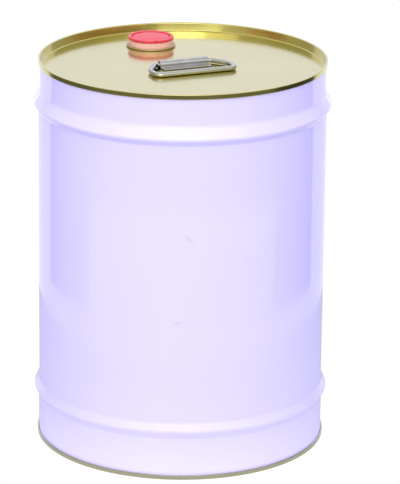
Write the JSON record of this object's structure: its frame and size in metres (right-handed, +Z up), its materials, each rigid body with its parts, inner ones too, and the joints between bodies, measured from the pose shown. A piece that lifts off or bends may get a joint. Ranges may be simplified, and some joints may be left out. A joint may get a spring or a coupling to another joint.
{
  "type": "paint can",
  "caption": "Closed-head cylindrical tinplate paint drum with rolled hoops, recessed lacquered head, wire bail in a strap, and a low screw-capped pull-up pouring spout.",
  "frame": {"origin": "centre of the drum's base, on the surface that it stands on", "axes": "+Z up along the drum's axis, X along the bail's pivot, +Y from the middle of the head towards the pouring closure"},
  "size_m": [0.2954, 0.2954, 0.3915],
  "materials": {
    "enamelled_body": "glossy pale lavender-white stoved enamel on tinplate",
    "gold_lacquer": "clear gold lacquer over bright tinplate",
    "seam_compound": "cured sealing compound, out of sight in the seams",
    "bright_tinplate": "bright tinned sheet",
    "bright_wire": "bright drawn steel wire",
    "pale_plastic": "moulded translucent polyethylene, pale pink beside the cap",
    "foam_liner": "white closed-cell liner",
    "red_plastic": "moulded red polyethylene, half gloss"
  },
  "bodies": {
    "drum": {"body_shell": "enamelled_body", "top_head": "gold_lacquer", "bottom_head": "gold_lacquer", "top_seam_compound": "seam_compound", "bottom_seam_compound": "seam_compound", "bail_strap": "bright_tinplate", "crimp_ring": "gold_lacquer", "spout_base": "pale_plastic", "spout_bellows": "pale_plastic"},
    "bail": {"bail_handle": "bright_wire"},
    "spout": {"spout_neck": "pale_plastic", "spout_seal": "pale_plastic"},
    "liner": {"cap_liner": "foam_liner"},
    "cap": {"cap": "red_plastic"},
    "ring_left": {"pull_ring_left": "red_plastic"},
    "ring_right": {"pull_ring_right": "red_plastic"}
  },
  "joints": [
    {"name": "bail_swing", "type": "hinge", "parent": "drum", "child": "bail", "pos_m": [0, 0, 0.3844], "axis": [-1, 0, 0], "range_deg": [0, 180]},
    {"name": "spout_pull", "type": "slide", "parent": "drum", "child": "spout", "axis": [0, 0, 1], "range_m": [0, 0.038], "deforming": ["spout_bellows"]},
    {"name": "cap_rise", "type": "slide", "parent": "spout", "child": "liner", "axis": [0, 0, 1], "range_m": [0, 0.0038]},
    {"name": "cap_turn", "type": "hinge", "parent": "liner", "child": "cap", "pos_m": [0, 0.085, 0.3814], "axis": [0, 0, 1], "range_deg": [0, 450]},
    {"name": "ring_left_fold", "type": "hinge", "parent": "cap", "child": "ring_left", "pos_m": [0.00167, 0.08471, 0.3902], "axis": [-0.1736, -0.9848, 0], "range_deg": [0, 90]},
    {"name": "ring_right_fold", "type": "hinge", "parent": "cap", "child": "ring_right", "pos_m": [-0.00167, 0.08529, 0.3902], "axis": [0.1736, 0.9848, 0], "range_deg": [0, 90]}
  ],
  "couplings": [
    {"joint": "cap_rise", "follows": "cap_turn", "m_per_rad": 0.00047746}
  ]
}
